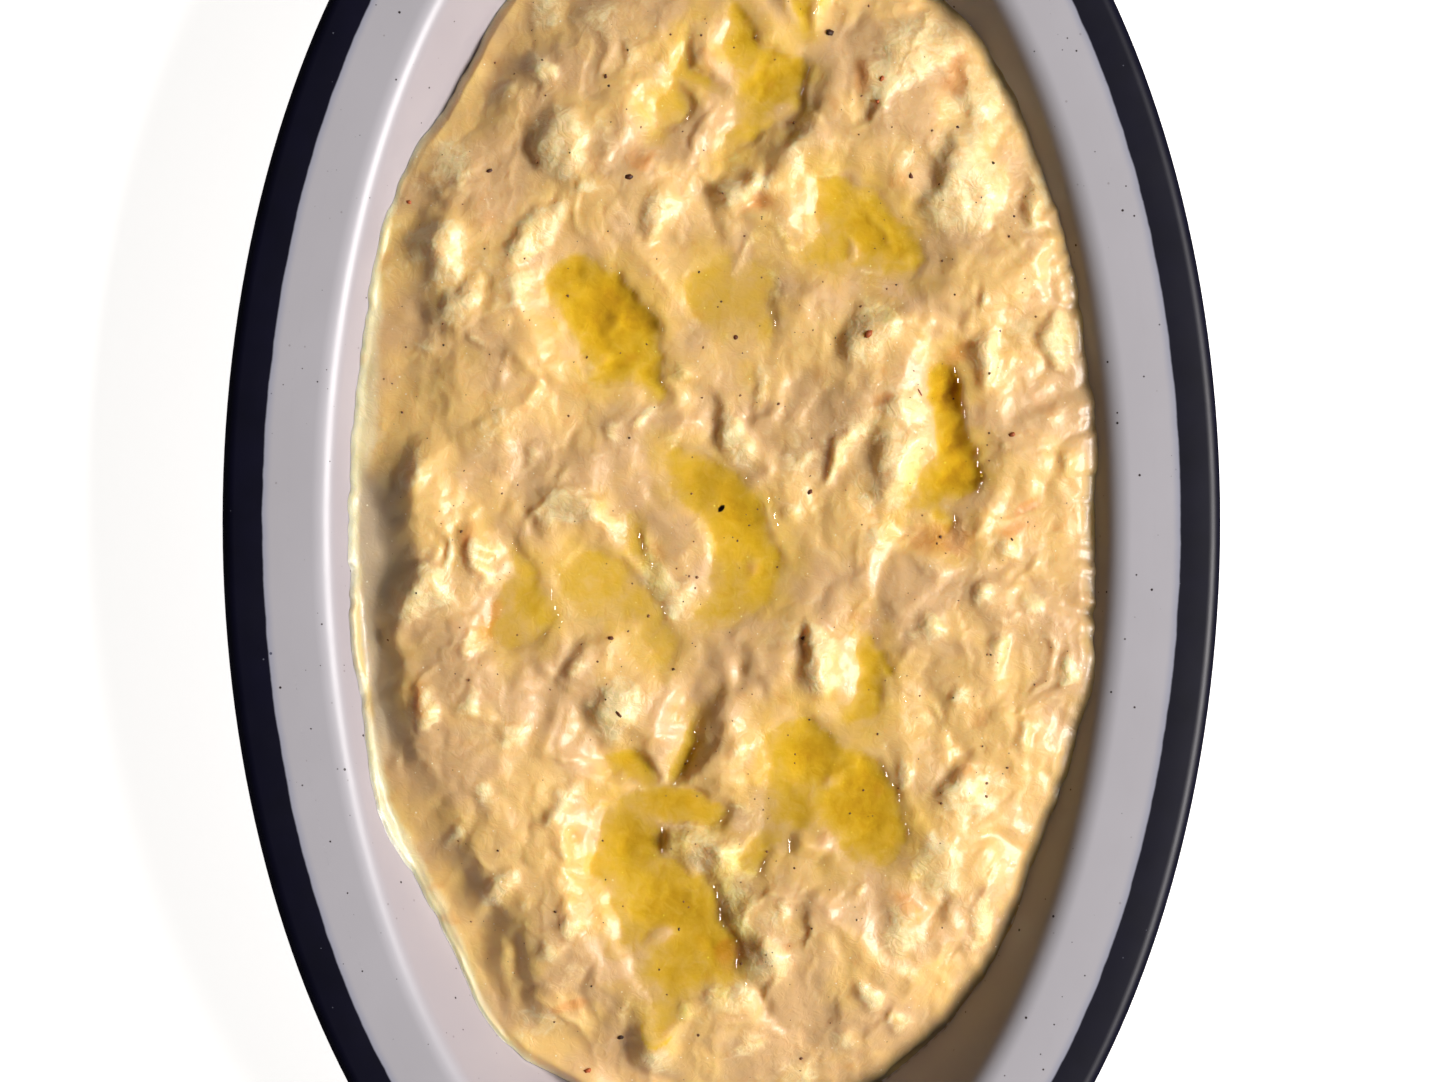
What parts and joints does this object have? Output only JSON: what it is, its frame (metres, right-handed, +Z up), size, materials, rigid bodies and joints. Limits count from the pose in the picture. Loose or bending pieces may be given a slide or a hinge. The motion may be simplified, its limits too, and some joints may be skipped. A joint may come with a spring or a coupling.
{
  "type": "baba ganoush in an oval dish",
  "caption": "Smoky aubergine dip, lumpy and glossy with pools of olive oil, heaped in a long oval enamelled dish with a level lip and a dark rolled rim.",
  "frame": {"origin": "centre of the dish's outline, on the surface that it stands on", "axes": "+Z up, +Y along the dish's length towards its far end, +X across it to the right"},
  "size_m": [0.14, 0.237, 0.0302],
  "materials": {
    "enamel": "glossy pale grey enamel with dark specks and a navy rim",
    "aubergine_paste": null,
    "olive_oil": null
  },
  "bodies": {
    "root": {"oval_dish": "enamel", "baba_ganoush": "aubergine_paste", "olive_oil_01": "olive_oil", "olive_oil_02": "olive_oil", "olive_oil_03": "olive_oil", "olive_oil_04": "olive_oil", "olive_oil_05": "olive_oil", "olive_oil_06": "olive_oil", "olive_oil_07": "olive_oil", "olive_oil_08": "olive_oil", "olive_oil_09": "olive_oil", "olive_oil_10": "olive_oil", "olive_oil_11": "olive_oil"}
  },
  "joints": []
}
